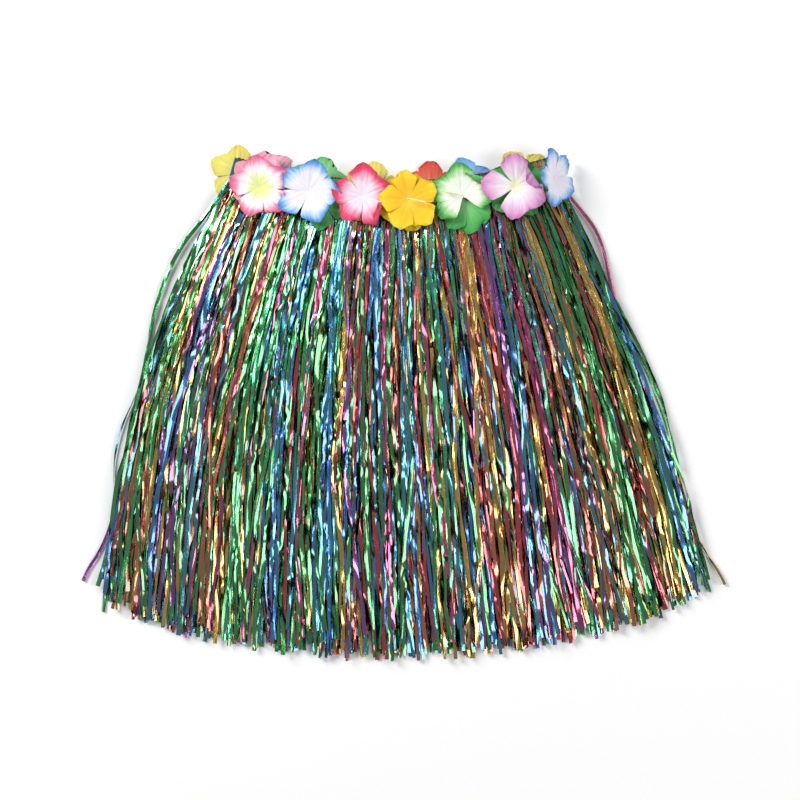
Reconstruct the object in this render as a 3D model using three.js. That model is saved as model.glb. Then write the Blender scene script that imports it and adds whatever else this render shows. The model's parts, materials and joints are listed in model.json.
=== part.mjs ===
// A tinsel grass skirt laid flat: an elastic waistband pressed flat into a closed loop, a back and a
// front fringe of foil strips gathered into locks, loose outer strips, and a garland of fabric flowers.
// Millimetres, +Z up. The underside lies on z = 0, the waist is towards +Y and the hem towards -Y.
//
// Laid flat the skirt is a sector of a ring. Its places are given by r, the distance from the point
// that every strip runs away from, and by a turn from the -Y direction, positive towards +X.
import * as THREE from "three";

// ---- Driving dimensions -------------------------------------------------------------------------
const WAIST_FLAT = 308; // half of the waist's length round, along the middle of the band
const BAND_HEIGHT = 24; // from the band's top edge to its lower edge
const BAND_WALL = 1.5; // the elastic with the strip heads sewn to it
const BAND_SLIT = 1; // clear space between the front and the back of the waist
const SKIRT_LENGTH = 449; // from the band's top edge to the hem
const HEM_SPREAD = 573; // along the hem, from side to side
const SIDE_BULGE = { left: 2.05, right: 1.3 }; // degrees that the sides stand out near mid-length
const HEM_SWING = { left: 0.45, right: 0.73 }; // degrees that the sides' lower ends lie to the right
const GAP = 0.3; // clear space between two pieces that lie against each other

// ---- Worked out from them -----------------------------------------------------------------------
const R_SLOPE = (HEM_SPREAD - WAIST_FLAT) / (SKIRT_LENGTH - BAND_HEIGHT / 2);
const R_MIDDLE = WAIST_FLAT / R_SLOPE; // radius of the band's middle line
const R_TOP = R_MIDDLE - BAND_HEIGHT / 2;
const R_BAND = R_TOP + BAND_HEIGHT; // the band's lower edge, where the fringe starts
const R_HEM = R_TOP + SKIRT_LENGTH;
const FRINGE_LENGTH = R_HEM - R_BAND;
const SPREAD = WAIST_FLAT / R_MIDDLE; // the sector's angle, in radians
const LEFT_SHARE = 0.4965; // of that angle that lies left of straight down
const LEFT = -SPREAD * LEFT_SHARE;
const RIGHT = SPREAD * (1 - LEFT_SHARE);
const CENTRE = new THREE.Vector2(-7, 705); // where r is 0, so that the box is centred on the origin
const UNDER_BAND = 4; // height of the waistband over the surface, held up by the flowers under it
const BAND_TOP = UNDER_BAND + 2 * BAND_WALL + BAND_SLIT;

const radians = THREE.MathUtils.degToRad;
const lerp = THREE.MathUtils.lerp;

// The point at distance r, turn and height z.
function place(r, turn, z) {
  return new THREE.Vector3(CENTRE.x + r * Math.sin(turn), CENTRE.y - r * Math.cos(turn), z);
}

// The turn of the fringe's side edges: each stands out by its bulge a little above mid-length.
function sideTurn(side, r) {
  const t = THREE.MathUtils.clamp((r - R_BAND) / FRINGE_LENGTH, 0, 1);
  const bulge = radians(SIDE_BULGE[side]) * Math.sin(Math.PI * t ** 0.75);
  const swing = radians(HEM_SWING[side]) * t;
  return swing + (side === "left" ? LEFT - bulge : RIGHT + bulge);
}

// ---- Building blocks ----------------------------------------------------------------------------
// A mesh from points and triangles. Triangles are turned over where the solid came out inside out.
function meshOf(points, triangles, name, look) {
  let volume = 0;
  for (const [a, b, c] of triangles) {
    volume += points[a].dot(points[b].clone().cross(points[c]));
  }
  const facing = volume < 0 ? triangles.map(([a, b, c]) => [a, c, b]) : triangles;
  const geometry = new THREE.BufferGeometry().setFromPoints(points);
  geometry.setIndex(facing.flat());
  geometry.computeVertexNormals();
  const mesh = new THREE.Mesh(geometry, look);
  mesh.name = name;
  return mesh;
}

// A closed wall between two grids of points, each of columns + 1 by rows + 1.
function wall(columns, rows, upper, lower, name, look) {
  const width = columns + 1;
  const count = width * (rows + 1);
  const points = [];
  for (const face of [upper, lower]) {
    for (let row = 0; row <= rows; row++) {
      for (let column = 0; column <= columns; column++) points.push(face(column, row));
    }
  }
  const triangles = [];
  const quad = (a, b, c, d) => triangles.push([a, b, c], [a, c, d]);
  for (let row = 0; row < rows; row++) {
    for (let column = 0; column < columns; column++) {
      const a = row * width + column;
      quad(a, a + 1, a + 1 + width, a + width);
      quad(count + a, count + a + width, count + a + 1 + width, count + a + 1);
    }
  }
  const rim = [];
  for (let column = 0; column < columns; column++) rim.push(column);
  for (let row = 0; row < rows; row++) rim.push(row * width + columns);
  for (let column = columns; column > 0; column--) rim.push(rows * width + column);
  for (let row = rows; row > 0; row--) rim.push(row * width);
  rim.forEach((a, i) => {
    const b = rim[(i + 1) % rim.length];
    quad(a, count + a, count + b, b);
  });
  return meshOf(points, triangles, name, look);
}

function foil(colour) {
  return new THREE.MeshStandardMaterial({ color: colour, roughness: 0.25, metalness: 0.9 });
}

function cloth(colour) {
  return new THREE.MeshStandardMaterial({ color: colour, roughness: 0.85, metalness: 0 });
}

const FOILS = {
  green: foil(0x0b7a3c),
  gold: foil(0xb98a2c),
  red: foil(0x8c1620),
  blue: foil(0x1769a8),
  purple: foil(0x6d2a78),
  teal: foil(0x16808a),
  copper: foil(0xa8502c),
};
const PETALS = {
  pink: cloth(0xe0678f),
  blue: cloth(0x6ea3d6),
  rose: cloth(0xdc3c72),
  yellow: cloth(0xe8cf2a),
  green: cloth(0x57ad54),
  lilac: cloth(0xd3a3c9),
  straw: cloth(0xe6dc7c),
  coral: cloth(0xe2604c),
};
const BAND_LOOK = cloth(0xc9b7b0);
const PISTIL_LOOK = new THREE.MeshStandardMaterial({ color: 0xf0ead0, roughness: 0.45 });

// ---- Waistband ----------------------------------------------------------------------------------
// The band is one closed loop pressed flat: front wall, bend, back wall and bend round a thin slit.
// `inset` moves the loop inwards from its outer face; stations are the same on every loop.
const WALL_STATIONS = 16;
const BEND_STATIONS = 5;
const BAND_ROWS = 1;

function bandLoop(inset) {
  const height = BAND_TOP - UNDER_BAND;
  const bend = height / 2 - inset;
  const middle = UNDER_BAND + height / 2;
  const [first, last] = [LEFT, RIGHT].map((turn) => turn * R_MIDDLE);
  const ends = [first + height / 2, last - height / 2];
  const stations = [];
  for (let i = 0; i < WALL_STATIONS; i++) {
    stations.push([lerp(ends[0], ends[1], i / WALL_STATIONS), middle + bend]);
  }
  for (let i = 0; i < BEND_STATIONS; i++) {
    const angle = (Math.PI * i) / BEND_STATIONS;
    stations.push([ends[1] + bend * Math.sin(angle), middle + bend * Math.cos(angle)]);
  }
  for (let i = 0; i < WALL_STATIONS; i++) {
    stations.push([lerp(ends[1], ends[0], i / WALL_STATIONS), middle - bend]);
  }
  for (let i = 0; i < BEND_STATIONS; i++) {
    const angle = (Math.PI * i) / BEND_STATIONS;
    stations.push([ends[0] - bend * Math.sin(angle), middle - bend * Math.cos(angle)]);
  }
  return stations;
}

function waistband() {
  const outer = bandLoop(0);
  const inner = bandLoop(BAND_WALL);
  const around = outer.length;
  const points = [];
  for (const loop of [outer, inner]) {
    for (let row = 0; row <= BAND_ROWS; row++) {
      const r = lerp(R_TOP, R_BAND, row / BAND_ROWS);
      loop.forEach(([along, z]) => points.push(place(r, along / R_MIDDLE, z)));
    }
  }
  const triangles = [];
  const quad = (a, b, c, d) => triangles.push([a, b, c], [a, c, d]);
  const inside = around * (BAND_ROWS + 1);
  const lastRow = around * BAND_ROWS;
  for (let i = 0; i < around; i++) {
    const next = (i + 1) % around;
    for (let row = 0; row < BAND_ROWS; row++) {
      const [a, b] = [row * around + i, row * around + next];
      quad(a, b, b + around, a + around);
      quad(inside + a, inside + a + around, inside + b + around, inside + b);
    }
    quad(i, inside + i, inside + next, next);
    quad(lastRow + i, lastRow + next, inside + lastRow + next, inside + lastRow + i);
  }
  return meshOf(points, triangles, "waistband", BAND_LOOK);
}

// ---- Fringe -------------------------------------------------------------------------------------
// Heights of the fringe down its length. `at` is the share of the fringe's length. The back fringe
// reaches from `under` to `join`; the front fringe from just over `join` to `over`, plus its crown.
const HEIGHTS = [
  { at: 0.0, under: UNDER_BAND, join: 5.6, over: 8.0 },
  { at: 0.06, under: 1.6, join: 6.2, over: 9.6 },
  { at: 0.14, under: 0.0, join: 6.8, over: 11.0 },
  { at: 0.35, under: 0.0, join: 7.2, over: 12.5 },
  { at: 0.6, under: 0.0, join: 7.2, over: 12.4 },
  { at: 0.84, under: 0.0, join: 6.2, over: 10.6 },
  { at: 1.0, under: 0.0, join: 4.0, over: 7.4 },
];
const LAST_FIXED = HEIGHTS.length - 2;

// The height of one face at distance r below the last fixed row, where all faces run straight on.
function heightAtHem(face, r) {
  const [a, b] = [HEIGHTS[LAST_FIXED], HEIGHTS[LAST_FIXED + 1]];
  const t = (r - R_BAND) / FRINGE_LENGTH;
  return lerp(a[face], b[face], (t - a.at) / (b.at - a.at));
}

// One row for each lock, from left to right: its share of the width, how far its middle stands up
// over its edges, how far it sways to the right at mid-length, and how much lower its hem reaches.
const FRONT_LOCKS = [
  { share: 0.9, crown: 1.2, sway: 0.0, reach: -12, colour: "teal" },
  { share: 1.0, crown: 2.4, sway: -2.5, reach: -4, colour: "purple" },
  { share: 1.1, crown: 2.0, sway: 2.0, reach: 0, colour: "gold" },
  { share: 1.0, crown: 3.0, sway: -1.5, reach: -3, colour: "green" },
  { share: 0.9, crown: 1.8, sway: 2.5, reach: 3, colour: "copper" },
  { share: 1.1, crown: 2.8, sway: -2.0, reach: 0, colour: "red" },
  { share: 1.0, crown: 2.2, sway: 1.0, reach: 3, colour: "green" },
  { share: 1.0, crown: 3.0, sway: 2.5, reach: 0, colour: "blue" },
  { share: 1.1, crown: 2.0, sway: -2.0, reach: 1, colour: "gold" },
  { share: 0.9, crown: 2.6, sway: 1.5, reach: -2, colour: "red" },
  { share: 1.0, crown: 2.2, sway: -1.5, reach: -4, colour: "copper" },
  { share: 0.9, crown: 1.2, sway: 0.0, reach: -10, colour: "green" },
];
const BACK_LOCKS = [
  { share: 1.0, crown: 0, sway: 0.0, reach: -14, colour: "green" },
  { share: 0.9, crown: 0, sway: 1.5, reach: -6, colour: "red" },
  { share: 1.1, crown: 0, sway: -2.0, reach: -2, colour: "blue" },
  { share: 1.0, crown: 0, sway: 2.0, reach: -4, colour: "gold" },
  { share: 1.0, crown: 0, sway: -1.5, reach: 0, colour: "green" },
  { share: 1.1, crown: 0, sway: 2.5, reach: -2, colour: "purple" },
  { share: 0.9, crown: 0, sway: -2.0, reach: 0, colour: "teal" },
  { share: 1.0, crown: 0, sway: 1.5, reach: -3, colour: "copper" },
  { share: 1.0, crown: 0, sway: -1.0, reach: -2, colour: "green" },
  { share: 1.1, crown: 0, sway: 2.0, reach: -4, colour: "red" },
  { share: 0.9, crown: 0, sway: -1.5, reach: -6, colour: "blue" },
  { share: 1.0, crown: 0, sway: 0.0, reach: -12, colour: "gold" },
];
const TOOTH = { front: 9, back: 7 }; // how far the long ends of the hem stand out past the short ones
const COLUMNS = { front: 6, back: 4 };

// The turn, at distance r, of the line between two locks: `share` of the width from the left side.
function lineTurn(share, sway, r) {
  const t = (r - R_BAND) / FRINGE_LENGTH;
  const turn = lerp(sideTurn("left", r), sideTurn("right", r), share);
  return turn + (sway * Math.sin(Math.PI * t)) / r;
}

function fringe(side, locks) {
  const total = locks.reduce((sum, lock) => sum + lock.share, 0);
  const group = new THREE.Group();
  const columns = COLUMNS[side];
  let from = 0;
  locks.forEach((lock, k) => {
    const to = from + lock.share / total;
    const swayTo = k + 1 < locks.length ? lock.sway : 0;
    const swayFrom = k > 0 ? locks[k - 1].sway : 0;
    const start = from;
    const hem = (column) => {
      const uneven = 0.7 + 0.3 * Math.sin(2.3 * column + 1.7 * k);
      return R_HEM + lock.reach - TOOTH[side] * (column % 2 ? 0 : uneven);
    };
    const point = (face, column, row) => {
      const r = row > LAST_FIXED ? hem(column) : R_BAND + GAP + HEIGHTS[row].at * FRINGE_LENGTH;
      const edges = [
        lineTurn(start, swayFrom, r) + GAP / r,
        lineTurn(to, swayTo, r) - GAP / r,
      ];
      const across = column / columns;
      let z = row > LAST_FIXED ? heightAtHem(face, r) : HEIGHTS[row][face];
      if (face === "over") {
        const rise = Math.min(1, HEIGHTS[row].at * 6) * (row > LAST_FIXED ? 0.5 : 1);
        z += lock.crown * rise * (1 - (2 * across - 1) ** 2);
      }
      return place(r, lerp(edges[0], edges[1], across), z);
    };
    const raised = new THREE.Vector3(0, 0, GAP);
    const upper = side === "front" ? "over" : "join";
    const lower = side === "front" ? "join" : "under";
    group.add(
      wall(
        columns,
        HEIGHTS.length - 1,
        (column, row) => point(upper, column, row),
        (column, row) => {
          const p = point(lower, column, row);
          return side === "front" ? p.add(raised) : p;
        },
        `fringe_${side}_${String(k + 1).padStart(2, "0")}`,
        FOILS[lock.colour],
      ),
    );
    from = to;
  });
  return group;
}

// ---- Loose outer strips -------------------------------------------------------------------------
// Single strips that have strayed from the sides. Each station gives the share of the fringe's
// length and the distance out from the fringe's side edge.
const STRAYS = [
  { name: "left_purple", side: "left", colour: "purple", path: [[0.8, 2.5], [0.85, 7], [0.9, 15], [0.948, 27]] },
  { name: "left_green", side: "left", colour: "green", path: [[0.08, 2.5], [0.17, 12], [0.27, 13], [0.36, 9], [0.45, 2.5]] },
  { name: "left_gold", side: "left", colour: "gold", path: [[0.5, 2.5], [0.57, 8], [0.64, 11], [0.71, 8], [0.77, 2.5]] },
  { name: "right_gold", side: "right", colour: "gold", path: [[0.81, 2.5], [0.86, 9], [0.92, 17], [0.972, 25]] },
  { name: "right_teal", side: "right", colour: "teal", path: [[0.88, 2.5], [0.93, 5], [0.97, 8]] },
  { name: "right_copper", side: "right", colour: "copper", path: [[0.05, 2.5], [0.09, 10], [0.16, 13], [0.23, 6], [0.28, 2.5]] },
  { name: "right_green", side: "right", colour: "green", path: [[0.31, 2.5], [0.41, 8], [0.55, 12], [0.64, 7], [0.75, 2.5]] },
];
const STRIP_WIDTH = 3.6;
const STRIP_WALL = 0.8;

function stray({ name, side, colour, path }) {
  const out = side === "left" ? -1 : 1;
  const point = (column, row, z) => {
    const [at, distance] = path[row];
    const r = R_BAND + at * FRINGE_LENGTH;
    const offset = distance + (column ? STRIP_WIDTH / 2 : -STRIP_WIDTH / 2);
    return place(r, sideTurn(side, r) + (out * offset) / r, z);
  };
  return wall(
    1,
    path.length - 1,
    (column, row) => point(column, row, STRIP_WALL),
    (column, row) => point(column, row, 0),
    `strand_${name}`,
    FOILS[colour],
  );
}

// ---- Flowers ------------------------------------------------------------------------------------
// Each flower has an outer layer of petals, mostly a smaller inner layer on it, and some a pistil.
// `along` is measured on the band's middle line from straight down, `down` from the band's top edge.
// `lift` raises a flower whose petals lie over its neighbours', and lean tips it towards +X.
const FRONT_FLOWERS = [
  { name: "pink", along: -125, down: 20, radius: 29, turn: 20, lift: 0, outer: "pink", inner: "pink" },
  { name: "blue", along: -79, down: 18, radius: 29, turn: 52, lift: 8, outer: "green", inner: "blue" },
  { name: "rose", along: -27, down: 14, radius: 29, turn: 10, lift: 0, outer: "straw", inner: "rose" },
  { name: "yellow", along: 14, down: 18, radius: 30, turn: 30, lift: 8, outer: "yellow", inner: "yellow" },
  { name: "green", along: 66, down: 19, radius: 30, turn: 60, lift: 0, outer: "green", inner: "green" },
  { name: "lilac", along: 114, down: 18, radius: 29, turn: 36, lift: 6, outer: "green", inner: "lilac" },
  { name: "side_blue", along: 150, down: 20, radius: 27, turn: 40, lift: 12, lean: 32, outer: "blue" },
];
const BACK_FLOWERS = [
  { name: "straw_left", along: -150, down: 12, radius: 27, turn: 12, level: 0, outer: "straw" },
  { name: "pale_pink", along: -117, down: 8, radius: 26, turn: 40, level: 1, outer: "pink" },
  { name: "pale_green", along: -72, down: 8, radius: 27, turn: 5, level: 0, outer: "green" },
  { name: "straw_middle", along: -20, down: 6, radius: 27, turn: 10, level: 1, outer: "straw" },
  { name: "coral", along: 35, down: 6, radius: 26, turn: 15, level: 0, outer: "coral" },
  { name: "pale_blue", along: 74, down: 9, radius: 26, turn: 35, level: 1, outer: "blue" },
  { name: "straw_right", along: 126, down: 12, radius: 27, turn: 50, level: 0, outer: "straw" },
];
const PETAL_COUNT = 5;
const PETAL_WALL = 1;
const NOTCH = 0.42; // the radius between two petals, as a share of the flower's
const SAMPLES = 20; // corners round a petal layer's rim
const LAYER_STEP = 2.4; // height of the inner layer over the outer one
const INNER_SHARE = 0.86; // the inner layer's radius, as a share of the outer one's
const FRONT_CUP = 5; // how far the petal tips stand up over the flower's middle
const HUB_RADIUS = 3;

// A layer of five petals joined at the middle, facing +Z, with a round hub down to `foot`.
function petalLayer({ radius, cup, foot }, name, look) {
  const rings = cup ? [0.1, 0.55, 1] : [0.1, 1];
  const profile = (share, angle) => {
    const lobe = NOTCH + (1 - NOTCH) * Math.sqrt(Math.abs(Math.cos((PETAL_COUNT * angle) / 2)));
    const reach = share === rings[0] ? HUB_RADIUS : radius * lobe * share;
    return { x: reach * Math.cos(angle), y: reach * Math.sin(angle), z: cup * (reach / radius) ** 2 };
  };
  const points = [];
  for (const drop of [0, PETAL_WALL]) {
    for (const share of rings) {
      for (let i = 0; i < SAMPLES; i++) {
        const { x, y, z } = profile(share, (2 * Math.PI * i) / SAMPLES);
        points.push(new THREE.Vector3(x, y, z - drop));
      }
    }
  }
  const half = rings.length * SAMPLES;
  const top = points.push(new THREE.Vector3(0, 0, 0)) - 1;
  const footStart = points.length;
  for (let i = 0; i < SAMPLES; i++) {
    const p = points[half + i].clone();
    points.push(p.setZ(foot));
  }
  const footMiddle = points.push(new THREE.Vector3(0, 0, foot)) - 1;
  const triangles = [];
  const quad = (a, b, c, d) => triangles.push([a, b, c], [a, c, d]);
  for (let i = 0; i < SAMPLES; i++) {
    const next = (i + 1) % SAMPLES;
    triangles.push([top, i, next]);
    for (let ring = 0; ring + 1 < rings.length; ring++) {
      const [a, b] = [ring * SAMPLES + i, ring * SAMPLES + next];
      quad(a, a + SAMPLES, b + SAMPLES, b);
      quad(half + a, half + b, half + b + SAMPLES, half + a + SAMPLES);
    }
    const [rimA, rimB] = [half - SAMPLES + i, half - SAMPLES + next];
    quad(rimA, half + rimA, half + rimB, rimB);
    quad(half + i, footStart + i, footStart + next, half + next);
    triangles.push([footStart + i, footMiddle, footStart + next]);
  }
  return meshOf(points, triangles, name, look);
}

function frontFlower({ name, along, down, radius, turn, lift, lean = 0, outer, inner, pistil }) {
  const group = new THREE.Group();
  const base = BAND_TOP + GAP + PETAL_WALL + lift;
  group.position.copy(place(R_TOP + down, along / R_MIDDLE, base));
  group.rotation.set(0, radians(lean), 0);
  const tipped = Math.sin(radians(lean)) * HUB_RADIUS;
  const foot = -(PETAL_WALL + lift - tipped) / Math.cos(radians(lean));
  const lower = petalLayer({ radius, cup: FRONT_CUP, foot }, `flower_${name}_outer`, PETALS[outer]);
  lower.rotation.z = radians(turn);
  group.add(lower);
  if (inner) {
    const size = { radius: radius * INNER_SHARE, cup: FRONT_CUP, foot: -LAYER_STEP + GAP };
    const upper = petalLayer(size, `flower_${name}_inner`, PETALS[inner]);
    upper.position.z = LAYER_STEP;
    upper.rotation.z = radians(turn + 36);
    group.add(upper);
  }
  return group;
}

function backFlower({ name, along, down, radius, turn, level, outer }) {
  const lying = PETAL_WALL + level * 1.6;
  // It faces the surface, so it is built turned over, with its hub up to the band.
  const mesh = petalLayer(
    { radius, cup: 0, foot: -PETAL_WALL - (UNDER_BAND - GAP - lying) },
    `flower_${name}`,
    PETALS[outer],
  );
  mesh.position.copy(place(R_TOP + down, along / R_MIDDLE, lying - PETAL_WALL));
  mesh.rotation.set(Math.PI, 0, radians(turn));
  return mesh;
}

// Pistils: a slim rod that leans out of the flower's middle, with a rounded tip.
const PISTILS = [
  { flower: "yellow", length: 17, points: -12 },
  { flower: "green", length: 17, points: 168 },
];
const PISTIL_RADIUS = 1;
const PISTIL_RISE = 22; // degrees over the surface

function pistil({ flower, length, points }) {
  const of = FRONT_FLOWERS.find((f) => f.name === flower);
  const rod = new THREE.CapsuleGeometry(PISTIL_RADIUS, length, 2, 8);
  rod.rotateZ(-Math.PI / 2);
  rod.translate(length / 2 + PISTIL_RADIUS, 0, 0);
  const mesh = new THREE.Mesh(rod, PISTIL_LOOK);
  mesh.name = `pistil_${flower}`;
  const base = BAND_TOP + GAP + PETAL_WALL + of.lift + LAYER_STEP + PISTIL_RADIUS + 2 * GAP;
  mesh.position.copy(place(R_TOP + of.down, of.along / R_MIDDLE, base));
  mesh.rotation.order = "ZYX";
  mesh.rotation.set(0, -radians(PISTIL_RISE), radians(points));
  return mesh;
}

// ---- The skirt ----------------------------------------------------------------------------------
const skirt = new THREE.Group();
skirt.add(
  waistband(),
  fringe("back", BACK_LOCKS),
  fringe("front", FRONT_LOCKS),
  ...STRAYS.map(stray),
  ...BACK_FLOWERS.map(backFlower),
  ...FRONT_FLOWERS.map(frontFlower),
  ...PISTILS.map(pistil),
);

export default skirt;
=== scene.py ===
import json
import math

import bpy
import numpy as np
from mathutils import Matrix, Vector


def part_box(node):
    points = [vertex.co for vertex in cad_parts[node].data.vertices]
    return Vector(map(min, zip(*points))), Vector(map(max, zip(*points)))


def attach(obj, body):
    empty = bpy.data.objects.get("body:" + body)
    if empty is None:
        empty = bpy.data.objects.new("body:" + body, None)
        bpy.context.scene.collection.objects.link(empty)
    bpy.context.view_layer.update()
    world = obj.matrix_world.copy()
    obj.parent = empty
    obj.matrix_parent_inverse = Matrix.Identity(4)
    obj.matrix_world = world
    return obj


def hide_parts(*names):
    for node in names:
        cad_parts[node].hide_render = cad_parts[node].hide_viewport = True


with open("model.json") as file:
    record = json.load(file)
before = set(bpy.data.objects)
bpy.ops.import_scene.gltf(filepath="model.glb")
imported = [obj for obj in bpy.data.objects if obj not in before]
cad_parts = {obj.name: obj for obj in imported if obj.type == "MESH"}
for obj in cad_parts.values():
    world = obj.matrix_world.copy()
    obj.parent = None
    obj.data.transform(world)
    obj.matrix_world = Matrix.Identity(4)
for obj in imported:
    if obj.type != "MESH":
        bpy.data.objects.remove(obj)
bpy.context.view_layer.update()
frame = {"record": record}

# ---- The skirt's sizes, in metres ---------------------------------------------------------------
WAIST_FLAT = 0.308
BAND_HEIGHT = 0.024
BAND_WALL = 0.0015
SKIRT_LENGTH = 0.449
HEM_SPREAD = 0.573
SIDE_BULGE = {"left": math.radians(2.05), "right": math.radians(1.3)}
HEM_SWING = {"left": math.radians(0.45), "right": math.radians(0.73)}
STRIP_WIDTH = 0.0043
FILM = 0.00022
THREAD, EDGE_THREAD = 0.00034, 0.0006

# Laid flat, the skirt is a sector of a ring: r runs from the point that all strips run away from.
R_SLOPE = (HEM_SPREAD - WAIST_FLAT) / (SKIRT_LENGTH - BAND_HEIGHT / 2)
R_MIDDLE = WAIST_FLAT / R_SLOPE
R_TOP = R_MIDDLE - BAND_HEIGHT / 2
R_BAND = R_TOP + BAND_HEIGHT
FRINGE_LENGTH = SKIRT_LENGTH - BAND_HEIGHT
SPREAD = WAIST_FLAT / R_MIDDLE
LEFT_SHARE = 0.4965
LEFT, RIGHT = -SPREAD * LEFT_SHARE, SPREAD * (1 - LEFT_SHARE)
CENTRE_X, CENTRE_Y = -0.007, 0.705
BAND_LOW, BAND_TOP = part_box("waistband")[0][2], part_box("waistband")[1][2]

rng = np.random.default_rng(11)


def place(r, turn, z):
    """Points at distance r, turned from straight down towards +X, at height z."""
    r, turn, z = np.broadcast_arrays(r, turn, z)
    return np.stack([CENTRE_X + r * np.sin(turn), CENTRE_Y - r * np.cos(turn), z], -1)


def side_turn(side, r):
    t = np.clip((r - R_BAND) / FRINGE_LENGTH, 0, 1)
    bulge = SIDE_BULGE[side] * np.sin(np.pi * t**0.75)
    return t * HEM_SWING[side] + (LEFT - bulge if side == "left" else RIGHT + bulge)


def share_turn(share, r):
    left, right = side_turn("left", r), side_turn("right", r)
    return left + (right - left) * share


def ease(x):
    x = np.clip(x, 0, 1)
    return x * x * (3 - 2 * x)


def wander(count, stations, waves):
    """Rows of smooth random curves, each changing about `waves` times along its length."""
    knots = rng.normal(size=(count, waves + 4))
    x = np.linspace(1, waves + 1.999, stations)
    i = x.astype(int)
    f = x - i
    a, b, c, d = (knots[:, i + k] for k in (-1, 0, 1, 2))
    return b + 0.5 * f * (c - a + f * (2 * a - 5 * b + 4 * c - d + f * (3 * (b - c) + d - a)))


# ---- Node expressions ---------------------------------------------------------------------------
class Wire:
    """A shader socket; arithmetic on it adds Math nodes."""

    def __init__(self, look, socket):
        self.look, self.socket = look, socket

    def __add__(self, other):
        return self.look.math("ADD", self, other)

    def __sub__(self, other):
        return self.look.math("SUBTRACT", self, other)

    def __rsub__(self, other):
        return self.look.math("SUBTRACT", other, self)

    def __mul__(self, other):
        return self.look.math("MULTIPLY", self, other)

    __radd__ = __add__
    __rmul__ = __mul__


class Look:
    """A material being made. node() adds any node: its settings first, then its sockets."""

    def __init__(self, name, **fixed):
        self.material = bpy.data.materials.new(name)
        self.material.use_nodes = True
        self.tree = self.material.node_tree
        self.shader = self.tree.nodes["Principled BSDF"]
        for socket, value in fixed.items():
            self.feed(self.shader.inputs[socket.replace("_", " ")], value)

    def feed(self, socket, value):
        if isinstance(value, Wire):
            self.tree.links.new(value.socket, socket)
        else:
            socket.default_value = value

    def node(self, kind, settings=None, values=None, out=0):
        made = self.tree.nodes.new(kind)
        for key, value in (settings or {}).items():
            if key == "stops":
                ramp = made.color_ramp
                for k, (at, colour) in enumerate(value):
                    stop = ramp.elements[k] if k < 2 else ramp.elements.new(at)
                    stop.position, stop.color = at, colour
            else:
                setattr(made, key, value)
        for key, value in (values or {}).items():
            self.feed(made.inputs[key], value)
        return Wire(self, made.outputs[out])

    def math(self, operation, a, b):
        return self.node("ShaderNodeMath", {"operation": operation}, {0: a, 1: b})

    def mix(self, share, a, b, blend="MIX"):
        """Colours a and b blended by share."""
        settings = {"data_type": "RGBA", "blend_type": blend}
        return self.node("ShaderNodeMix", settings, {0: share, 6: a, 7: b}, 2)

    def noise(self, vector, scale, detail=2.0, rough=0.5):
        values = {"Vector": vector, "Scale": scale, "Detail": detail, "Roughness": rough}
        return self.node("ShaderNodeTexNoise", {}, values)

    def span(self, value, low, high, to_low=0.0, to_high=1.0):
        values = {0: value, 1: low, 2: high, 3: to_low, 4: to_high}
        return self.node("ShaderNodeMapRange", {}, values)

    def parts(self, name):
        """The three numbers of a named attribute."""
        vector = self.node("ShaderNodeAttribute", {"attribute_name": name}, {}, "Vector")
        split = self.node("ShaderNodeSeparateXYZ", {}, {0: vector})
        return [Wire(self, s) for s in split.socket.node.outputs]

    def vector(self, x, y, z):
        return self.node("ShaderNodeCombineXYZ", {}, {0: x, 1: y, 2: z})

    def bump(self, height, strength, distance):
        values = {"Height": height, "Strength": strength, "Distance": distance}
        return self.node("ShaderNodeBump", {}, values)

    def set(self, **sockets):
        for socket, value in sockets.items():
            self.feed(self.shader.inputs[socket.replace("_", " ")], value)
        return self.material


def linear(c):
    return c / 12.92 if c < 0.04045 else ((c + 0.055) / 1.055) ** 2.4


def shade(code):
    """A linear colour from a six-digit code."""
    return (*(linear(int(code[i : i + 2], 16) / 255) for i in (0, 2, 4)), 1.0)


def darker(colour, share):
    return (*(c * share for c in colour[:3]), 1.0)


# ---- Materials ----------------------------------------------------------------------------------
FOIL_CODES = {
    "green": "12A045",
    "emerald": "12AC78",
    "gold": "E0B23C",
    "red": "C61C2C",
    "copper": "CE6A34",
    "blue": "1A86D2",
    "teal": "1A9CAE",
    "purple": "8C3C9C",
    "magenta": "C42C7A",
}


def foil_look(name, code):
    """Mirror film: a tint over metal, with fine crinkles along the strip and a clear top coat."""
    look = Look(f"foil_{name}", Metallic=1.0, Coat_Weight=1.0, Coat_Roughness=0.13, Coat_IOR=1.9)
    along, across, own = look.parts("strip")
    base = tuple(0.88 * c + 0.028 for c in shade(code)[:3])
    fold = look.noise(look.vector(along * 260, across * 1.3, own * 90), 1.0, 3.0, 0.6)
    patch = look.noise(look.vector(along * 28, own * 70, 0.0), 1.0, 1.0)
    crinkled = look.span(patch, 0.42, 0.62)
    tone = look.span(own, 0.0, 1.0, 0.0, 0.75) + fold * 0.25
    colour = look.mix(tone, darker(base, 0.56), darker(base, 1.14))
    height = fold * (crinkled * 0.8 + 0.2)
    return look.set(
        Base_Color=colour,
        Roughness=look.span(fold, 0.3, 0.7, 0.16, 0.30),
        Normal=look.bump(height, 0.55, 0.0009),
    )


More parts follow.
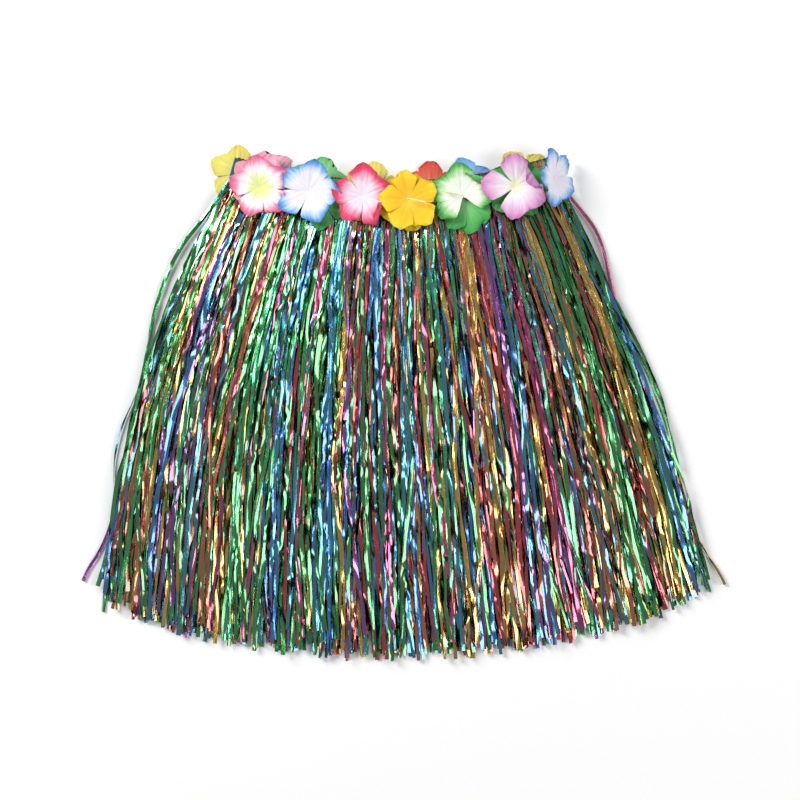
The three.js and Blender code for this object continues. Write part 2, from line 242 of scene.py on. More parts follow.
def petal_look(name, stops, reverse):
    """Dip-dyed petal cloth. Colour runs from the flower's middle to the petals' rim."""
    look = Look(f"petal_{name}", Sheen_Weight=0.25, Sheen_Roughness=0.5)
    out, across, own = look.parts("petal")
    streak = look.noise(look.vector(out * 1.6, across * 7.0, own * 40), 1.0, 3.0, 0.6)
    blotch = look.noise(look.vector(out * 3.0, across * 2.0, own * 17 + 5.0), 1.0, 2.0)
    side = look.math("ABSOLUTE", across, 0.0)
    reach = out + side * side * out * 0.16 + (streak - 0.5) * 0.26 + (blotch - 0.5) * 0.34
    dyed = look.node("ShaderNodeValToRGB", {"stops": stops}, {0: reach})
    vein = look.noise(look.vector(out * 0.8, across * 16.0, own * 9), 1.0, 2.0)
    colour = look.mix(look.span(vein, 0.56, 0.70, 0.0, 0.28), dyed, reverse, "MULTIPLY")
    weave = look.node("ShaderNodeTexCoord", {}, {}, "Object")
    threads = look.noise(weave, 2600.0, 2.0, 0.6)
    height = vein * 0.7 + threads * 0.3
    return look.set(
        Base_Color=colour,
        Roughness=look.span(threads, 0.3, 0.7, 0.62, 0.82),
        Normal=look.bump(height, 0.5, 0.0006),
    )


def cloth_look(name, code, other, scale=900.0):
    look = Look(name, Sheen_Weight=0.2)
    where = look.node("ShaderNodeTexCoord", {}, {}, "Object")
    fuzz = look.noise(where, scale, 3.0, 0.6)
    return look.set(
        Base_Color=look.mix(fuzz, shade(code), shade(other)),
        Roughness=look.span(fuzz, 0.3, 0.7, 0.6, 0.9),
        Normal=look.bump(fuzz, 0.5, 0.0004),
    )


FOILS = {name: foil_look(name, code) for name, code in FOIL_CODES.items()}


# ---- Meshes -------------------------------------------------------------------------------------
def mesh_piece(name, points, faces, materials, smooth_angle=50, **vectors):
    """A piece on the skirt, from arrays of points and quads; vectors are per-point attributes."""
    points = np.asarray(points, np.float32).reshape(-1, 3)
    faces = np.asarray(faces, np.int32).reshape(-1, 4)
    mesh = bpy.data.meshes.new(name)
    mesh.vertices.add(len(points))
    mesh.vertices.foreach_set("co", points.ravel())
    mesh.loops.add(faces.size)
    mesh.loops.foreach_set("vertex_index", faces.ravel())
    mesh.polygons.add(len(faces))
    mesh.polygons.foreach_set("loop_start", np.arange(0, faces.size, 4, dtype=np.int32))
    mesh.update(calc_edges=True)
    mesh.polygons.foreach_set("use_smooth", np.ones(len(faces), bool))
    mesh.set_sharp_from_angle(angle=math.radians(smooth_angle))
    for key, values in vectors.items():
        layer = mesh.attributes.new(key, "FLOAT_VECTOR", "POINT")
        layer.data.foreach_set("vector", np.asarray(values, np.float32).ravel())
    mesh.validate()
    made = bpy.data.objects.new(name, mesh)
    bpy.context.scene.collection.objects.link(made)
    for material in materials:
        mesh.materials.append(material)
    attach(made, "root")
    return made


def directions(path):
    """Unit vectors along, beside and up from each point of rows of paths lying near the floor."""
    along = np.gradient(path, axis=1)
    along /= np.linalg.norm(along, axis=2, keepdims=True)
    beside = np.cross([0.0, 0.0, 1.0], along)
    beside /= np.linalg.norm(beside, axis=2, keepdims=True)
    return along, beside, np.cross(along, beside)


def strip_rings(path, roll, curl, width):
    """Four corners round every station of every strip: edge, upper face, edge, lower face."""
    _, beside, up = directions(path)
    cos, sin = np.cos(roll)[..., None], np.sin(roll)[..., None]
    wide = cos * beside + sin * up
    out = cos * up - sin * beside
    half = (width / 2)[..., None]
    bend = curl[..., None] * out
    return np.stack(
        [
            path - wide * half - bend / 2,
            path + bend / 2 + out * (FILM / 2),
            path + wide * half - bend / 2,
            path + bend / 2 - out * (FILM / 2),
        ],
        2,
    )


def strip_piece(name, path, roll, curl, width, material):
    """Strips as closed thin bodies in one mesh, with a map laid out strip by strip."""
    rings = strip_rings(path, roll, curl, width)
    count, stations = rings.shape[:2]
    base = (np.arange(count)[:, None] * stations + np.arange(stations)[None, :]) * 4
    sides = []
    for k in range(4):
        a, b = base[:, :-1] + k, base[:, :-1] + (k + 1) % 4
        sides.append(np.stack([a, a + 4, b + 4, b], -1))
    body = np.stack(sides, 2).reshape(-1, 4)
    first, last = base[:, 0, None], base[:, -1, None]
    caps = np.concatenate([first + [0, 1, 2, 3], last + [3, 2, 1, 0]])
    lengths = np.linalg.norm(np.diff(path, axis=1), axis=2).cumsum(1)
    lengths = np.concatenate([np.zeros((count, 1)), lengths], 1)
    own = rng.random(count)
    strip = np.empty((count, stations, 4, 3))
    strip[..., 0] = lengths[..., None]
    strip[..., 1] = [-1.0, 0.0, 1.0, 0.0]
    strip[..., 2] = own[:, None, None]
    made = mesh_piece(name, rings, np.concatenate([body, caps]), [material], strip=strip)
    map_strips(made, count, stations, len(body), lengths / lengths[:, -1:])
    return made


def map_strips(made, count, stations, body_faces, along):
    """Each strip's upper and lower face side by side in a column of its own."""
    corner = made.data.loops
    index = np.empty(len(corner), np.int32)
    corner.foreach_get("vertex_index", index)
    faces = index.reshape(-1, 4)
    strip, station, ring = faces // 4 // stations, faces // 4 % stations, faces % 4
    across = np.array([0.0, 0.5, 1.0, 0.5])[ring]
    v = 0.02 + 0.96 * along[strip, station]
    lower = np.zeros(faces.shape[0])
    side = np.arange(body_faces) % 4
    lower[:body_faces] = side >= 2
    column = (strip * 2 + lower[:, None]) / (2 * count)
    u = column + (0.06 + 0.88 * across) / (2 * count)
    end = np.arange(faces.shape[0]) >= body_faces
    v[end] = np.where(station[end] == 0, 0.0, 0.985) + 0.012 * (ring[end] % 3 == 0)
    layer = made.data.uv_layers.new(name="OFBake")
    layer.uv.foreach_set("vector", np.stack([u, v], -1).astype(np.float32).ravel())


# ---- Fringe -------------------------------------------------------------------------------------
# Bunches of one colour, as they were sewn on from the left side of the waist to the right.
BUNCHES = """
    green gold copper blue purple purple green magenta gold copper green green gold blue
    green red red green copper teal blue red blue magenta green gold blue red green
    emerald red gold blue purple gold red blue green gold magenta green purple red gold
    green red green gold copper blue
""".split()
# How common each colour is over the whole fringe.
COMMON = {
    "green": 0.25, "emerald": 0.11, "gold": 0.19, "red": 0.08, "copper": 0.13,
    "blue": 0.10, "teal": 0.10, "purple": 0.02, "magenta": 0.03,
}
# Heights of the pile down the fringe: share of its length, floor, join of back and front, top.
PILE = np.array([
    [-0.060, 0.0030, 0.0036, 0.0092],
    [0.000, 0.0026, 0.0050, 0.0098],
    [0.060, 0.0008, 0.0060, 0.0118],
    [0.140, 0.0004, 0.0068, 0.0135],
    [0.350, 0.0004, 0.0072, 0.0155],
    [0.600, 0.0004, 0.0072, 0.0150],
    [0.840, 0.0004, 0.0062, 0.0125],
    [1.000, 0.0004, 0.0040, 0.0085],
])
STATIONS = 92


def strip_shapes(count, crinkle):
    """Roll, curl and width along strips: lazy turns, a few half twists and crinkled stretches."""
    t = np.linspace(0, 1, STATIONS)[None, :]
    loose = ease((t - 0.045) / 0.05)
    roll = 0.42 * wander(count, STATIONS, 9) + 0.26 * wander(count, STATIONS, 24)
    patches = ease(wander(count, STATIONS, 6) - 0.1)
    roll += crinkle * 0.5 * patches * wander(count, STATIONS, 60)
    for _ in range(2):
        twisted = rng.random((count, 1)) < 0.3
        start = rng.uniform(0.08, 0.95, (count, 1))
        turn = rng.choice([-1, 1], (count, 1)) * np.pi * twisted
        roll += turn * ease((t - start) / rng.uniform(0.02, 0.06, (count, 1)))
    curl = 0.0009 * wander(count, STATIONS, 12) + 0.0005 * patches * wander(count, STATIONS, 50)
    width = STRIP_WIDTH * (0.92 + 0.07 * wander(count, STATIONS, 14).clip(-1.5, 1.5))
    width = width * rng.uniform(0.84, 1.12, (count, 1))
    return loose * roll, np.clip(curl, -0.0016, 0.0016) * (0.3 + 0.7 * loose), width


def strip_heights(r, layer, half):
    """Height of each strip's middle at distance r, by its layer in the front or the back half."""
    at = (r - R_BAND) / FRINGE_LENGTH
    under, join, over = (np.interp(at, PILE[:, 0], PILE[:, k]) for k in (1, 2, 3))
    if half == "front":
        low = np.where(at < 0, BAND_TOP + 0.0002, join)
        return low + (over - low) * layer
    return under + (join - under) * layer


def fringe_paths(count, half):
    """Paths from the band's top edge to the hem, crossing each other a little on the way."""
    t = np.linspace(0, 1, STATIONS)[None, :]
    start = ((np.arange(count) + rng.random(count)) / count)[:, None]
    drift = 0.014 * rng.normal(size=(count, 1))
    drift += 0.045 * rng.normal(size=(count, 1)) * (rng.random((count, 1)) < 0.16)
    locks = 0.007 * np.sin(2 * np.pi * (start * 19 + 0.3)) + 0.006 * np.sin(2 * np.pi * start * 43)
    end = np.clip(start + drift + locks, -0.004, 1.004)
    loose = ease((t - 0.05) / 0.12)
    share = start + (end - start) * loose * t
    share += loose * (0.0048 * wander(count, STATIONS, 4) + 0.0011 * wander(count, STATIONS, 14))
    share += 0.009 * rng.normal(size=(count, 1)) * t**4
    share = np.clip(share, -0.016, 1.016)
    ragged = -0.022 * rng.random((count, 1)) ** 2.4
    ragged = ragged + 0.004 * rng.normal(size=(count, 1)).clip(-2, 1.6)
    corner = -0.014 * (np.abs(2 * end - 1) ** 6)
    length = SKIRT_LENGTH - 0.0005 + ragged + corner
    r = R_TOP + 0.0005 + t * length
    swell = 0.0022 * np.sin(2 * np.pi * (share * 7 + 0.2 * np.sin(9 * t))) * loose
    layer = rng.random((count, 1)) + 0.07 * wander(count, STATIONS, 7) * loose
    z = strip_heights(r, np.clip(layer, 0, 1), half)
    if half == "front":
        z = z + swell * np.clip(layer, 0, 1)
    return place(r, share_turn(share, r), z), start[:, 0]


def keep_clear(path, roll, curl, width):
    """Lifts strips where their edges would reach below the floor."""
    need = np.abs(np.sin(roll)) * width / 2 + np.abs(curl) / 2 + 0.00015
    path[..., 2] = np.maximum(path[..., 2], need)
    return path


def strip_colours(start):
    """Bunch by bunch, with strips of other colours straying into each bunch."""
    names = list(COMMON)
    odds = np.array(list(COMMON.values()))
    other = rng.choice(names, len(start), p=odds / odds.sum())
    moved = start + 0.012 * rng.normal(size=len(start))
    bunch = np.clip((moved * len(BUNCHES)).astype(int), 0, len(BUNCHES) - 1)
    own = np.array(BUNCHES)[bunch]
    return np.where(rng.random(len(start)) < 0.33, own, other)


SLOTS = {"emerald": "foil_green", "magenta": "foil_purple"}
slot_of = {p["node"]: p["material_slot"] for p in frame["record"]["subparts"]}


def fringe(half, count):
    path, start = fringe_paths(count, half)
    roll, curl, width = strip_shapes(count, 1.0)
    path = keep_clear(path, roll, curl, width)
    colours = strip_colours(start)
    made = []
    for name in FOIL_CODES:
        mine = colours == name
        piece = strip_piece(
            f"fringe_{half}_{name}", path[mine], roll[mine], curl[mine], width[mine], FOILS[name]
        )
        slot = SLOTS.get(name, f"foil_{name}")
        nodes = [n for n, s in slot_of.items() if n.startswith(f"fringe_{half}") and s == slot]
        if nodes and name not in SLOTS:
            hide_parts(*nodes)
        made.append(piece)
    return made


fringe_pieces = fringe("back", 330) + fringe("front", 430)

# ---- Loose outer strips -------------------------------------------------------------------------
# Stations: share of the fringe's length, and distance out from the fringe's side edge.
STRAYS = {
    "left_purple": (
        "left", "purple", [(0, -4), (0.5, -3), (0.8, 2.5), (0.85, 7), (0.9, 15), (0.948, 27)]
    ),
    "left_green": (
        "left", "green",
        [(0, -1), (0.08, 2.5), (0.17, 12), (0.27, 13), (0.36, 9), (0.45, 2.5), (0.8, 0), (1, 2)],
    ),
    "left_gold": (
        "left", "teal",
        [(0, -2), (0.3, -1), (0.5, 2.5), (0.57, 8), (0.64, 11), (0.71, 8), (0.77, 2.5), (0.96, 0)],
    ),
    "right_gold": (
        "right", "gold", [(0, -3), (0.5, -3), (0.81, 2.5), (0.86, 9), (0.92, 17), (0.972, 25)]
    ),
    "right_teal": (
        "right", "green", [(0, -2), (0.6, -3), (0.88, 2.5), (0.93, 5), (0.97, 8)]
    ),
    "right_copper": (
        "right", "magenta",
        [(0, 0), (0.05, 2.5), (0.09, 10), (0.16, 13)]
        + [(0.23, 6), (0.28, 2.5), (0.6, -2), (0.98, -6)],
    ),
    "right_green": (
        "right", "green",
        [(0, -1), (0.31, 2.5), (0.41, 8), (0.55, 12), (0.64, 7), (0.75, 2.5), (0.97, -2)],
    ),
}


def stray(name, side, colour, stations):
    t = np.linspace(0, 1, STATIONS)
    at, out = np.array(stations).T
    share = at[0] + t * (at[-1] - at[0])
    knots = np.interp(share, at, out / 1000)
    smooth = np.convolve(np.pad(knots, 4, mode="edge"), np.full(9, 1 / 9), "valid")
    r = R_BAND + share * FRINGE_LENGTH
    sign = -1 if side == "left" else 1
    z = np.interp(share, [0, 0.12, 0.5, 1], [0.007, 0.004, 0.0025, 0.0015])
    path = place(r, side_turn(side, r) + sign * smooth / r, z)[None]
    roll, curl, width = strip_shapes(1, 0.6)
    path = keep_clear(path, 0.6 * roll, curl, width)
    piece = strip_piece(f"stray_{name}", path, 0.6 * roll, curl, width * 0.85, FOILS[colour])
    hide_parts(f"strand_{name}")
    return piece


fringe_pieces += [stray(name, *row) for name, row in STRAYS.items()]


# ---- Waistband ----------------------------------------------------------------------------------
def shell(grid, thickness):
    """A closed thin wall on a grid of points: its points, its quads and the grid's size."""
    rows, columns = grid.shape[:2]
    du, dv = np.gradient(grid, axis=0), np.gradient(grid, axis=1)
    normal = np.cross(du, dv)
    normal /= np.maximum(np.linalg.norm(normal, axis=2, keepdims=True), 1e-12)
    points = np.concatenate([grid + normal * thickness / 2, grid - normal * thickness / 2])
    index = np.arange(rows * columns).reshape(rows, columns)
    a, b = index[:-1, :-1], index[1:, :-1]
    c, d = index[1:, 1:], index[:-1, 1:]
    upper = np.stack([a, b, c, d], -1).reshape(-1, 4)
    lower = upper[:, ::-1] + rows * columns
    rim = np.concatenate([index[:-1, 0], index[-1, :-1], index[:0:-1, -1], index[0, :0:-1]])
    after = np.roll(rim, -1)
    edge = np.stack([after, rim, rim + rows * columns, after + rows * columns], -1)
    return points.reshape(-1, 3), np.concatenate([upper, lower, edge])


def band_loop(stations):
    """Points round the flattened loop: distance along the band's middle line, and height."""
    high, low = BAND_TOP - BAND_WALL / 2, BAND_LOW + BAND_WALL / 2
    bend, middle = (high - low) / 2, (high + low) / 2
    ends = (LEFT * R_MIDDLE + bend + BAND_WALL / 2, RIGHT * R_MIDDLE - bend - BAND_WALL / 2)
    straight = ends[1] - ends[0]
    round_ = 2 * straight + 2 * np.pi * bend
    s = np.linspace(0, round_, stations)
    along, z = np.empty_like(s), np.empty_like(s)
    for k, value in enumerate(s):
        if value < straight:
            along[k], z[k] = ends[0] + value, high
        elif value < straight + np.pi * bend:
            angle = (value - straight) / bend
            along[k], z[k] = ends[1] + bend * np.sin(angle), middle + bend * np.cos(angle)
        elif value < 2 * straight + np.pi * bend:
            along[k], z[k] = ends[1] - (value - straight - np.pi * bend), low
        else:
            angle = (value - 2 * straight - np.pi * bend) / bend
            along[k], z[k] = ends[0] - bend * np.sin(angle), middle - bend * np.cos(angle)
    return along, z, round_


def waistband():
    along, z, round_ = band_loop(420)
    rows = np.linspace(0, 1, 9)
    grid = place(R_TOP + rows[:, None] * BAND_HEIGHT, (along / R_MIDDLE)[None, :], z[None, :])
    points, faces = shell(grid, 0.0011)
    look = cloth_look("elastic", "D8CFC8", "8A7F7A", 700.0)
    piece = mesh_piece("waistband_elastic", points, faces, [look])
    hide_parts("waistband")
    return piece, round_


def tube_piece(name, paths, radius, sides, material):
    """Threads or cords along rows of paths, as closed tubes in one mesh."""
    _, beside, up = directions(paths)
    count, stations = paths.shape[:2]
    angle = np.arange(sides) * 2 * np.pi / sides
    cos, sin = np.cos(angle)[:, None], np.sin(angle)[:, None]
    ring = beside[..., None, :] * cos + up[..., None, :] * sin
    points = paths[..., None, :] + ring * radius
    base = (np.arange(count)[:, None] * stations + np.arange(stations)[None, :]) * sides
    faces = []
    for k in range(sides):
        a, b = base[:, :-1] + k, base[:, :-1] + (k + 1) % sides
        faces.append(np.stack([a, a + sides, b + sides, b], -1).reshape(-1, 4))
    if sides == 4:
        faces.append(base[:, 0, None] + [0, 1, 2, 3])
        faces.append(base[:, -1, None] + [3, 2, 1, 0])
    return mesh_piece(name, points, np.concatenate(faces), [material])


def thread_rows():
    """Rows of zigzag stitches that hold the strip heads down, on both faces of the band."""
    pitch, rows = 0.0021, 5
    steps = int(WAIST_FLAT / pitch) * 2
    along = np.linspace(LEFT * R_MIDDLE + 0.003, RIGHT * R_MIDDLE - 0.003, steps)
    paths = []
    for row in range(rows):
        middle = R_TOP + 0.0038 + row * (BAND_HEIGHT - 0.0070) / (rows - 1)
        zig = np.where(np.arange(steps) % 2, 0.0013, -0.0013)
        for z, lift in ((BAND_TOP, 0.0012), (BAND_LOW, -0.0006)):
            r = middle + zig + 0.0001 * rng.normal(size=steps)
            paths.append(place(r, along / R_MIDDLE, z + lift))
    look = cloth_look("thread", "F6F2EC", "C9BDB2")
    piece = tube_piece("thread_rows", np.array(paths), THREAD, 4, look)
    return piece


def edge_shadow_stitches():
    """Dark overcast stitches along the band's top edge; their near-black brown is painted shadow,
    standing for the shade between the loops of the band's folded top edge.
    """
    pitch = 0.0034
    count = int(WAIST_FLAT / pitch)
    at = LEFT * R_MIDDLE + 0.001 + pitch * np.arange(count)
    t = np.linspace(0, 1, 7)[None, :]
    along = at[:, None] + t * pitch * 0.82
    arch = np.sin(np.pi * t)
    high = BAND_TOP + 0.0006 + 0.0007 * arch
    paths = place(R_TOP + 0.0004 - 0.0004 * arch, along / R_MIDDLE, high)
    # Near-black browns: painted shadow along the band's top edge.
    look = cloth_look("edge_shadow_thread", "2A1512", "5A3226")
    piece = tube_piece("edge_shadow_stitches", paths, EDGE_THREAD, 4, look)
    return piece


band, band_round = waistband()
band_trim = [thread_rows(), edge_shadow_stitches()]


# ---- Flowers ------------------------------------------------------------------------------------
# Colours from the flower's middle (0) to the petals' rim (1).
PETAL_STOPS = {
    "pink": [
        (0.0, "DDEB8C"), (0.3, "E6EEA8"), (0.46, "FAF4F2"),
        (0.66, "F8E0E8"), (0.82, "E98AAA"), (1.0, "D4557F"),
    ],
    # The pale palettes (pale_pink, pale_blue, straw, pale_green) are partly the cloth's own colour
    # and partly painted light: made paler to stand for light shining through the thin petals.
    "pale_pink": [(0.0, "F8E4EA"), (0.5, "F6CBD8"), (1.0, "F09FB6")],
    "blue": [
        (0.0, "F0EAF6"), (0.56, "ECEAF8"), (0.73, "BCD4F3"),
        (0.88, "6AA4E2"), (1.0, "3E7FC8"),
    ],
    "pale_blue": [(0.0, "D6E6F6"), (0.5, "9CC6EE"), (1.0, "5C9CDC")],
    "rose": [
        (0.0, "F0E4F0"), (0.42, "F2DCEA"), (0.62, "F098B4"),
        (0.8, "E2406C"), (1.0, "D22A58"),
    ],
    "yellow": [
        (0.0, "F6D23A"), (0.35, "F6BE16"), (0.7, "F8C610"),
        (0.9, "F2D21E"), (1.0, "E4C818"),
    ],
    "straw": [(0.0, "F2EC8E"), (0.6, "EFE678"), (1.0, "E2D65A")],
    "green": [
        (0.0, "F2F6EE"), (0.52, "EAF4E2"), (0.7, "A6D696"),
        (0.87, "57AE52"), (1.0, "2E8A3A"),
    ],
    "leaf": [(0.0, "8ED08A"), (0.5, "5CB860"), (1.0, "2F9440")],
    "pale_green": [(0.0, "B8E2B0"), (0.5, "94D494"), (1.0, "66BC6C")],
    "lilac": [
        (0.0, "E6EEB4"), (0.3, "F4ECF2"), (0.55, "EBCDE4"),
        (0.8, "DCA0CC"), (1.0, "C878B4"),
    ],
    "coral": [(0.0, "F29A80"), (0.5, "EA6A54"), (1.0, "DA4436")],
}
PETALS = {
    name: petal_look(name, [(at, shade(code)) for at, code in stops], shade("C9A8A8"))
    for name, stops in PETAL_STOPS.items()
}
ROWS_OUT, ROWS_ACROSS = 22, 17
PETAL_THICK = 0.0005
# Half a petal's width down its length, both as shares of the flower's radius.
PETAL_HALF_WIDTH = [0, 0.12, 0.42, 0.70, 0.86, 1], [0.07, 0.11, 0.31, 0.42, 0.42, 0.33]


def petal_grid(radius, character, ruffle, cup):
    """One petal along +X: a narrow foot, a broad rounded end, pleats and a wavy rim."""
    u = np.linspace(0, 1, ROWS_OUT)[:, None]
    v = np.linspace(-1, 1, ROWS_ACROSS)[None, :]
    phase = character.uniform(0, 2 * np.pi, 6)
    body = radius * np.interp(u, *PETAL_HALF_WIDTH)
    body = body * (1 + 0.05 * np.sin(2.2 * v + phase[0]) + 0.03 * character.normal())
    x = radius * (0.004 + 0.996 * u) - radius * 0.25 * np.abs(v) ** 2.3 * u**3
    x += radius * (0.018 * np.sin(5 * v + phase[1]) + 0.010 * np.sin(11 * v + phase[2])) * u**4
    y = v * body
    out = u**1.2
    z = cup * np.sin(np.pi * 0.62 * u) / math.sin(math.pi * 0.62) + 0 * v
    z += 0.0016 * (character.uniform(-0.6, 1.0)) * (1 - v**2) * out
    z += ruffle * np.sin(4.6 * v + phase[3]) * out**2 * 0.7
    z += ruffle * 0.5 * np.sin(9.5 * v + phase[4]) * out**3
    z += 0.00032 * np.sin(15 * v + 2.0 * u + phase[5]) * out
    z -= 0.0007 * np.exp(-((v / 0.10) ** 2)) * np.sin(np.pi * np.clip(u * 1.15, 0, 1))
    z += 0.0016 * v * out
    return np.stack([x, y + 0 * x, z + 0 * x], -1)


def fold_over(points, angle, distance, bend=0.0011):
    """Turns the part past a line back over the rest; the line is square to `angle`."""
    side = np.array([math.cos(angle), math.sin(angle)])
    past = points[..., :2] @ side - distance
    angle_past = np.clip(past / bend, 0, np.pi)
    flat = np.maximum(past - np.pi * bend, 0)
    moved = bend * np.sin(angle_past) - flat
    out = points.copy()
    shift = np.where(past > 0, moved - past, 0.0)
    out[..., :2] += shift[..., None] * side
    out[..., 2] += np.where(past > 0, bend * (1 - np.cos(angle_past)), 0.0)
    return out


def turned(points, angle):
    cos, sin = math.cos(angle), math.sin(angle)
    x, y, z = np.moveaxis(points, -1, 0)
    return np.stack([x * cos - y * sin, x * sin + y * cos, z], -1)


def flower_layer(name, middle, radius, turn, look, node, seed, **more):
    """Five petals in one mesh. folds: petal, share of the radius, degrees off its line."""
    character = np.random.default_rng(seed)
    cup, ruffle = more.get("cup", 0.004), more.get("ruffle", 0.0011)
    folds = {row[0]: row[1:] for row in more.get("folds", ())}
    lean = more.get("lean", (0.0, 0.0))
    all_points, all_faces, marks, area = [], [], [], 0.0
    out, across = np.linspace(0, 1, ROWS_OUT), np.linspace(-1, 1, ROWS_ACROSS)
    u, v = np.meshgrid(out, across, indexing="ij")
    for k in range(5):
        own_radius = radius * (1 + 0.04 * character.normal())
        grid = petal_grid(own_radius, character, ruffle, cup)
        cells = np.cross(grid[1:, :-1] - grid[:-1, :-1], grid[:-1, 1:] - grid[:-1, :-1])
        area += np.linalg.norm(cells, axis=2).sum()
        if k in folds:
            share, off = folds[k][:2]
            bend = folds[k][2] if len(folds[k]) > 2 else 0.0011
            grid = fold_over(grid, math.radians(off), share * own_radius, bend)
        grid[..., 2] += 0.00018 * k
        points_at = more["petals_at"][k] if "petals_at" in more else turn + 72 * k
        grid = turned(grid, math.radians(points_at) + 0.05 * character.normal())
        points, faces = shell(grid, PETAL_THICK)
        own = (seed * 5 + k) * 0.137 % 1
        mark = np.stack([u, v, np.full_like(u, own)], -1).reshape(-1, 3)
        all_faces.append(faces + sum(len(p) for p in all_points))
        all_points.append(points)
        marks.append(np.concatenate([mark, mark]))
    points = np.concatenate(all_points)
    if more.get("under"):
        points = points * [1, -1, -1]
        all_faces = [faces[:, ::-1] for faces in all_faces]
    tip_x, tip_y = (math.radians(a) for a in lean)
    x, y, z = points.T
    cos, sin = math.cos(tip_x), math.sin(tip_x)
    x, z = x * cos + z * sin, z * cos - x * sin
    cos, sin = math.cos(tip_y), math.sin(tip_y)
    y, z = y * cos - z * sin, z * cos + y * sin
    points = np.stack([x, y, z], -1) + middle
    points[:, 2] = np.maximum(points[:, 2], 0.0003)
    faces, marks = np.concatenate(all_faces), np.concatenate(marks)
    piece = mesh_piece(name, points, faces, [PETALS[look]], 70, petal=marks)
    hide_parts(node)
    return piece


def middle_of(node, z):
    low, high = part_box(node)
    return np.array([(low[0] + high[0]) / 2, (low[1] + high[1]) / 2, z])


# Name, look, CAD node, radius, turn in degrees, height, shift in x and y, and what is special.
FLOWERS = [
    ("pink_under", "pale_pink", "flower_pink_outer", 0.0290, -5, 0.0105, 0.001, 0.001,
     {"cup": 0.002}),
    ("pink", "pink", "flower_pink_inner", 0.0300, 30, 0.0145, 0.0, 0.0, {}),
    ("blue_under", "leaf", "flower_blue_outer", 0.0270, -30, 0.0108, 0.0155, -0.0055,
     {"cup": 0.002}),
    ("blue", "blue", "flower_blue_inner", 0.0300, -3, 0.0160, 0.0, 0.0,
     {"folds": [(0, 0.74, 35)]}),
    ("rose_under", "straw", "flower_rose_outer", 0.0255, 45, 0.0104, -0.003, -0.002,
     {"cup": 0.002}),
    ("rose", "rose", "flower_rose_inner", 0.0300, 17, 0.0150, 0.0, 0.0, {"folds": [(4, 0.6, 40)]}),
    ("yellow_under", "yellow", "flower_yellow_outer", 0.0285, -7, 0.0125, 0.003, -0.003,
     {"cup": 0.002}),
    ("yellow", "yellow", "flower_yellow_inner", 0.0295, 29, 0.0180, 0.0, 0.0, {}),
    ("green_under", "leaf", "flower_green_outer", 0.0300, 0, 0.0106, -0.001, -0.003,
     {"cup": 0.002, "petals_at": (330, 285, 245, 195, 120)}),
    ("green", "green", "flower_green_inner", 0.0300, 0, 0.0150, 0.0, 0.0,
     {"petals_at": (353, 46, 102, 160, 223), "folds": [(1, 0.66, 25)]}),
    ("lilac_under", "leaf", "flower_lilac_outer", 0.0290, 12, 0.0120, 0.006, -0.001,
     {"cup": 0.002}),
    ("lilac", "lilac", "flower_lilac_inner", 0.0300, 0, 0.0170, 0.0, 0.0,
     {"petals_at": (98, 180, 268, 323, 20), "folds": [(4, 0.55, 10, 0.0022)]}),
    ("side_blue", "blue", "flower_side_blue_outer", 0.0285, 40, 0.0220, 0.0, 0.0,
     {"lean": (54.0, 0.0)}),
]
# Back flowers in pale looks: their own colours made paler as painted light, standing for light
# shining through the thin petal cloth.
BACK_FLOWERS = [
    ("straw_left", "straw", 0.0270, 12),
    ("pale_pink", "pale_pink", 0.0260, 40),
    ("pale_green", "pale_green", 0.0275, 5),
    ("straw_middle", "straw", 0.0270, 10),
    ("coral", "coral", 0.0260, 15),
    ("pale_blue", "pale_blue", 0.0260, 35),
    ("straw_right", "straw", 0.0270, 50),
]
BACK_HEIGHT = 0.0031

for seed, (name, look, node, radius, turn, z, dx, dy, more) in enumerate(FLOWERS):
    middle = middle_of(node, z) + np.array([dx, dy, 0.0])
    flower_layer(f"petals_{name}", middle, radius, turn, look, node, seed + 3, **more)
for seed, (name, look, radius, turn) in enumerate(BACK_FLOWERS):
    node = f"flower_{name}"
    flower_layer(
        f"petals_back_{name}", middle_of(node, BACK_HEIGHT), radius, -turn, look, node, seed + 40,
        under=True, cup=0.0010, ruffle=0.0004,
    )


def pistil(name, node, points_to):
    """A slim waxy rod with a knobbly tip, leaning out of the flower's middle."""
    low, high = (np.array(c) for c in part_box(node))
    length = float(np.linalg.norm((high - low)[:2]))
    start = middle_of(node, high[2] - 0.001) - 0.5 * length * np.array([*points_to, 0.0])
    t = np.linspace(0, 1, 25)
    path = start + t[:, None] * length * np.array([*points_to, 0.0])
    path[:, 2] += 0.003 * np.sin(np.pi * 0.5 * t)
    radius = 0.0006 + 0.0005 * ease((t - 0.55) / 0.3) + 0.00025 * np.sin(60 * t) * (t > 0.6)
    radius *= np.sqrt(np.clip((1 - t) * 14, 0.02, 1))
    _, beside, up = directions(path[None])
    angle = np.arange(12) * np.pi / 6
    cos, sin = np.cos(angle)[:, None], np.sin(angle)[:, None]
    ring = beside[0][:, None] * cos + up[0][:, None] * sin
    points = path[:, None] + ring * radius[:, None, None]
    base = np.arange(24)[:, None] * 12
    k = np.arange(12)[None, :]
    after = (k + 1) % 12
    faces = np.stack([base + k, base + k + 12, base + after + 12, base + after], -1).reshape(-1, 4)
    caps = [[s + j, s + j + 1, s + 10 - j, s + (11 - j)] for s in (0, 288) for j in range(5)]
    look = cloth_look(name, "F6EFC0", "E6DC8E", 500.0)
    piece = mesh_piece(name, points, np.concatenate([faces, caps]), [look])
    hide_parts(node)
    return piece


pistil("pistil_yellow_rod", "pistil_yellow", (0.97, -0.24))
pistil("pistil_green_rod", "pistil_green", (-0.98, 0.2))


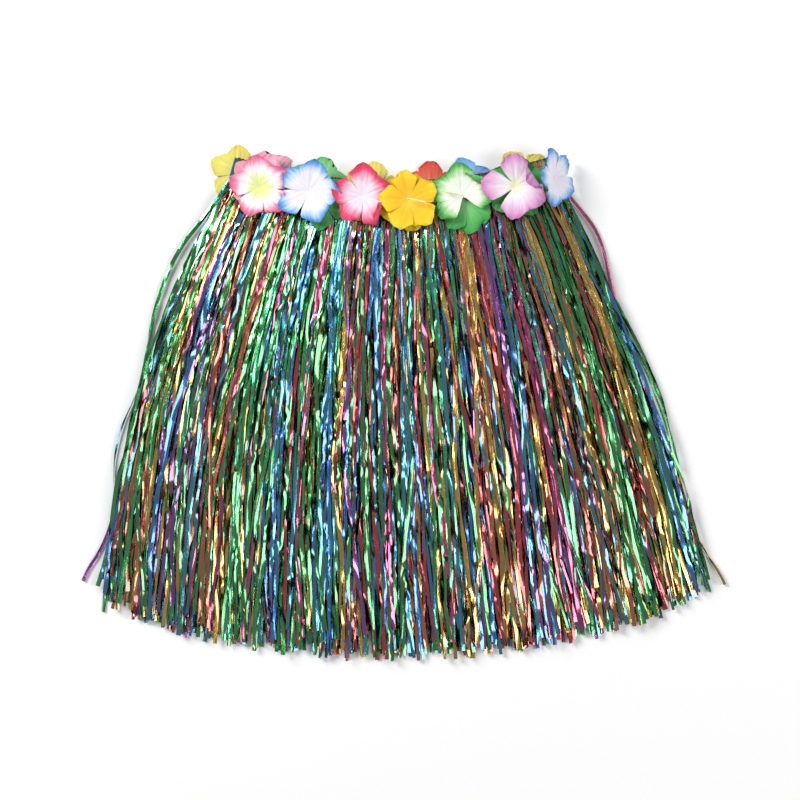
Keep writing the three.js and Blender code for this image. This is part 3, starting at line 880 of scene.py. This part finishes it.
# ---- Floor, lights and camera -------------------------------------------------------------------
# Name, place, size and brightness of each light.
LIGHTS = [
    ("key", (-2.0, 1.4, 1.9), (1.1, 1.35), 18.5),
    ("fill", (2.25, -0.27, 2.07), (1.4, 2.1), 4.8),
]
WORLD_BRIGHTNESS = 0.33
FRAME_WIDTH = 0.76
CAMERA_HEIGHT = 2.4


def floor():
    half = 12.0
    mesh = bpy.data.meshes.new("floor")
    corners = [(-half, -half, 0), (half, -half, 0), (half, half, 0), (-half, half, 0)]
    mesh.from_pydata(corners, [], [(0, 1, 2, 3)])
    made = bpy.data.objects.new("floor", mesh)
    bpy.context.scene.collection.objects.link(made)
    look = Look("floor_paper", Roughness=0.9)
    where = look.node("ShaderNodeTexCoord", {}, {}, "Object")
    grain = look.noise(where, 400.0)
    mesh.materials.append(look.set(Base_Color=look.mix(grain, shade("F4F4F4"), shade("F7F7F7"))))


def softbox(name, at, size, radiance):
    """A square light facing the skirt, of the given brightness per area."""
    data = bpy.data.lights.new(name, "AREA")
    data.shape, data.size, data.size_y = "RECTANGLE", *size
    data.energy = radiance * math.pi * size[0] * size[1]
    made = bpy.data.objects.new(name, data)
    bpy.context.scene.collection.objects.link(made)
    made.location = at
    aim = Vector((0, 0, 0)) - made.location
    made.rotation_euler = aim.to_track_quat("-Z", "Y").to_euler()


floor()
for light in LIGHTS:
    softbox(*light)
world = bpy.data.worlds.new("studio")
bpy.context.scene.world = world
world.use_nodes = True
world.node_tree.nodes["Background"].inputs["Color"].default_value = (1.0, 1.0, 1.0, 1.0)
world.node_tree.nodes["Background"].inputs["Strength"].default_value = WORLD_BRIGHTNESS

lens = bpy.data.cameras.new("camera")
lens.sensor_width = 36.0
lens.lens = 36.0 * CAMERA_HEIGHT / FRAME_WIDTH
camera = bpy.data.objects.new("camera", lens)
bpy.context.scene.collection.objects.link(camera)
camera.location = (0.0, 0.002, CAMERA_HEIGHT)
camera.rotation_euler = (0.0, 0.0, 0.0)
bpy.context.scene.camera = camera
bpy.context.scene.view_settings.view_transform = "Standard"
